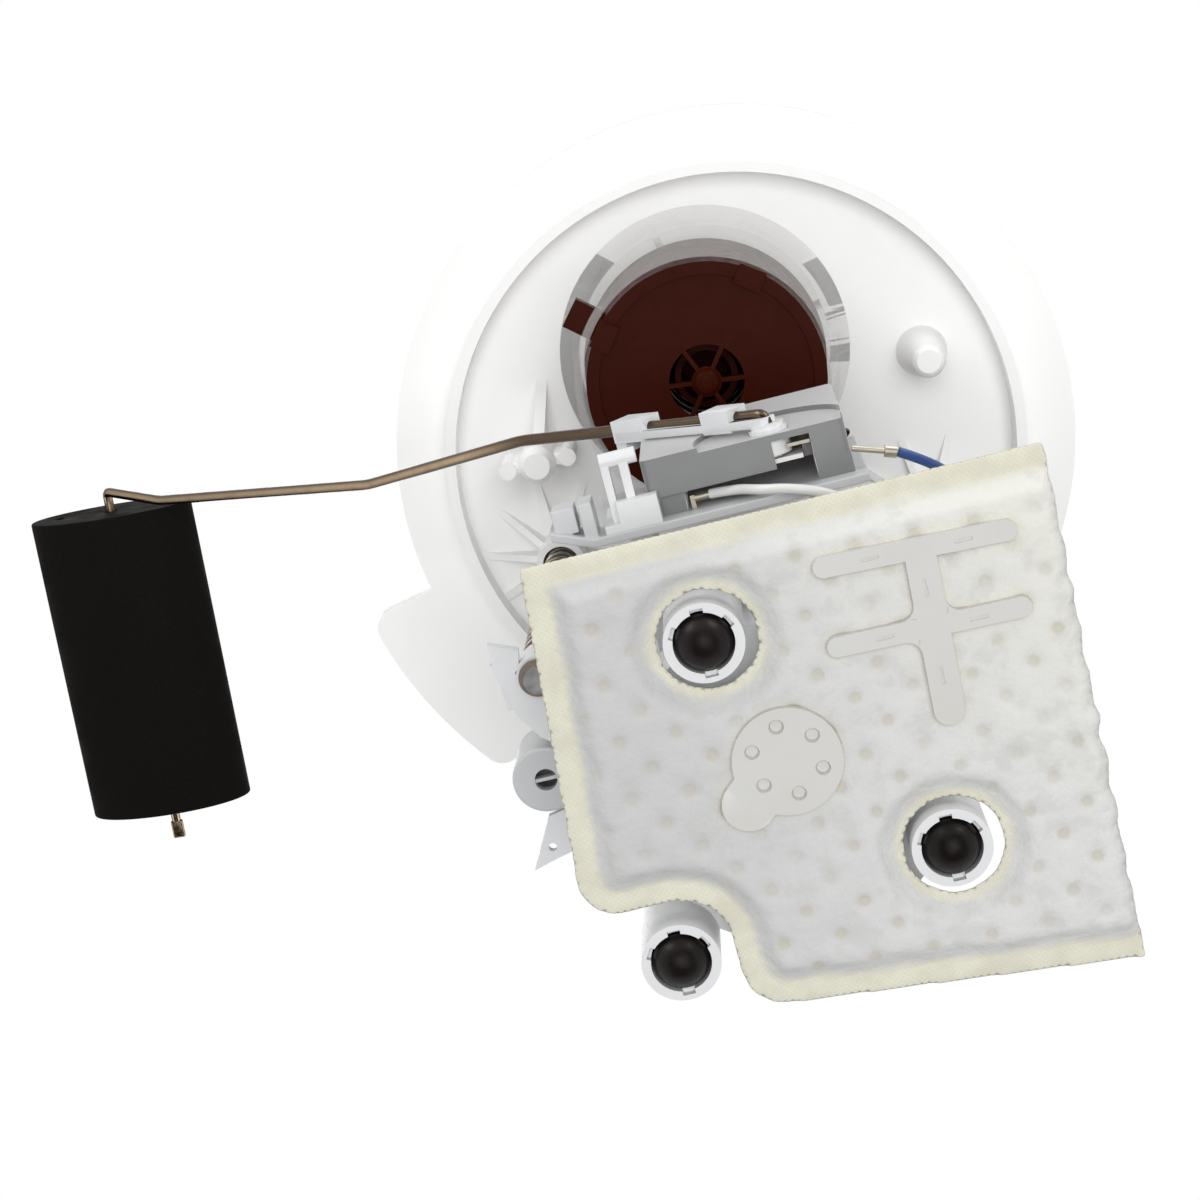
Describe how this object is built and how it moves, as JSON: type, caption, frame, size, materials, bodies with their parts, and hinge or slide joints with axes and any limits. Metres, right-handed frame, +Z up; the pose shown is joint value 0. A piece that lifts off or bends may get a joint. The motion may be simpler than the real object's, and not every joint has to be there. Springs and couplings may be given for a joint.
{
  "type": "fuel pump module",
  "caption": "In-tank fuel pump module: sealing flange with vent valve, spring-loaded pump carrier on two guide rods, flat strainer sock and a float arm level sensor.",
  "frame": {"origin": "centre of the round sealing flange, on its sealing face", "axes": "+Z up out of the tank along the flange axis, carrier and feet towards -Z, float arm towards -X, sensor side -Y"},
  "size_m": [0.2461, 0.1522, 0.1846],
  "materials": {
    "white_plastic": "moulded, satin",
    "clear_plastic": "natural, slightly translucent",
    "brown_plastic": "moulded, satin",
    "grey_plastic": "moulded, satin",
    "black_plastic": "moulded, satin",
    "rubber": "moulded",
    "steel": "drawn",
    "spring_steel": "oil hardened",
    "wire_brass": "passivated, yellowish",
    "copper": "enamelled wire",
    "brass": "stamped",
    "magnet": "ground",
    "card": "fired",
    "felt": "bonded fibre",
    "foam": "closed cell",
    "lead_red": "extruded",
    "lead_black": "extruded",
    "lead_white": "extruded",
    "lead_blue": "extruded",
    "hose": "extruded"
  },
  "bodies": {
    "flange_body": {"flange": "white_plastic", "clip_post": "white_plastic", "vent_valve_housing": "clear_plastic", "vent_valve_cap": "brown_plastic", "vent_float_spring": "spring_steel", "vapour_fitting": "white_plastic", "fuel_outlet_fitting": "white_plastic", "connector_shell": "white_plastic", "terminals": "brass", "harness_plug": "white_plastic", "guide_rod_left": "steel", "guide_rod_right": "steel", "rod_clips": "spring_steel", "guide_spring_left": "spring_steel", "guide_spring_right": "spring_steel", "fuel_hose": "hose", "hose_clamp_upper": "steel", "lead_red": "lead_red", "lead_black": "lead_black", "lead_white": "lead_white", "lead_blue": "lead_blue"},
    "carrier_body": {"carrier": "white_plastic", "carrier_cover": "white_plastic", "latch_strip": "white_plastic", "regulator_cup": "white_plastic", "regulator_cover": "white_plastic", "pump_case": "steel", "pump_inlet_housing": "black_plastic", "pump_outlet_housing": "black_plastic", "pump_plug": "black_plastic", "pump_magnets": "magnet", "brushes": "black_plastic", "isolator_lower": "rubber", "isolator_upper": "rubber", "check_valve_spring": "spring_steel", "sock": "felt", "sock_inlet_plate": "white_plastic", "sock_spreader": "white_plastic", "sock_neck": "white_plastic", "sensor_housing": "grey_plastic", "sensor_bracket": "grey_plastic", "arm_stop": "white_plastic", "resistor_card": "card", "resistor_track": "brass", "sensor_contact": "brass", "lead_crimps": "steel", "hose_clamp_lower": "steel", "rubber_feet": "rubber"},
    "rotor_body": {"motor_shaft": "steel", "armature_core": "steel", "armature_windings": "copper", "commutator": "copper", "impeller": "brown_plastic"},
    "arm_body": {"arm_wire": "wire_brass", "arm_holder": "white_plastic", "wiper": "brass"},
    "float_body": {"float": "foam"},
    "vent_float_body": {"vent_float": "white_plastic", "vent_float_seat": "rubber"},
    "check_ball_body": {"check_valve_ball": "steel"}
  },
  "joints": [
    {"name": "carrier_slide", "type": "slide", "parent": "flange_body", "child": "carrier_body", "axis": [0, 0, 1], "range_m": [0, 0.03], "stiffness_N_per_m": 400, "springref_m": -0.03, "deforming": ["guide_spring_left", "guide_spring_right", "fuel_hose", "lead_red", "lead_black", "lead_white", "lead_blue"]},
    {"name": "float_arm", "type": "hinge", "parent": "carrier_body", "child": "arm_body", "pos_m": [0.0088, -0.022, -0.1135], "axis": [0, 1, 0], "range_deg": [-40, 0]},
    {"name": "float_spin", "type": "hinge", "parent": "arm_body", "child": "float_body", "pos_m": [-0.1453, -0.0214, 0.0246], "axis": [-0.0872, 0.9962, 0], "continuous": true},
    {"name": "pump_rotor", "type": "hinge", "parent": "carrier_body", "child": "rotor_body", "pos_m": [-0.002, 0.035, -0.09], "axis": [0, 0, 1], "continuous": true},
    {"name": "check_valve", "type": "slide", "parent": "carrier_body", "child": "check_ball_body", "axis": [0, 0, 1], "range_m": [0, 0.0015], "deforming": ["check_valve_spring"]},
    {"name": "vent_float_lift", "type": "slide", "parent": "flange_body", "child": "vent_float_body", "axis": [0, 0, 1], "range_m": [0, 0.0024], "deforming": ["vent_float_spring"]}
  ]
}
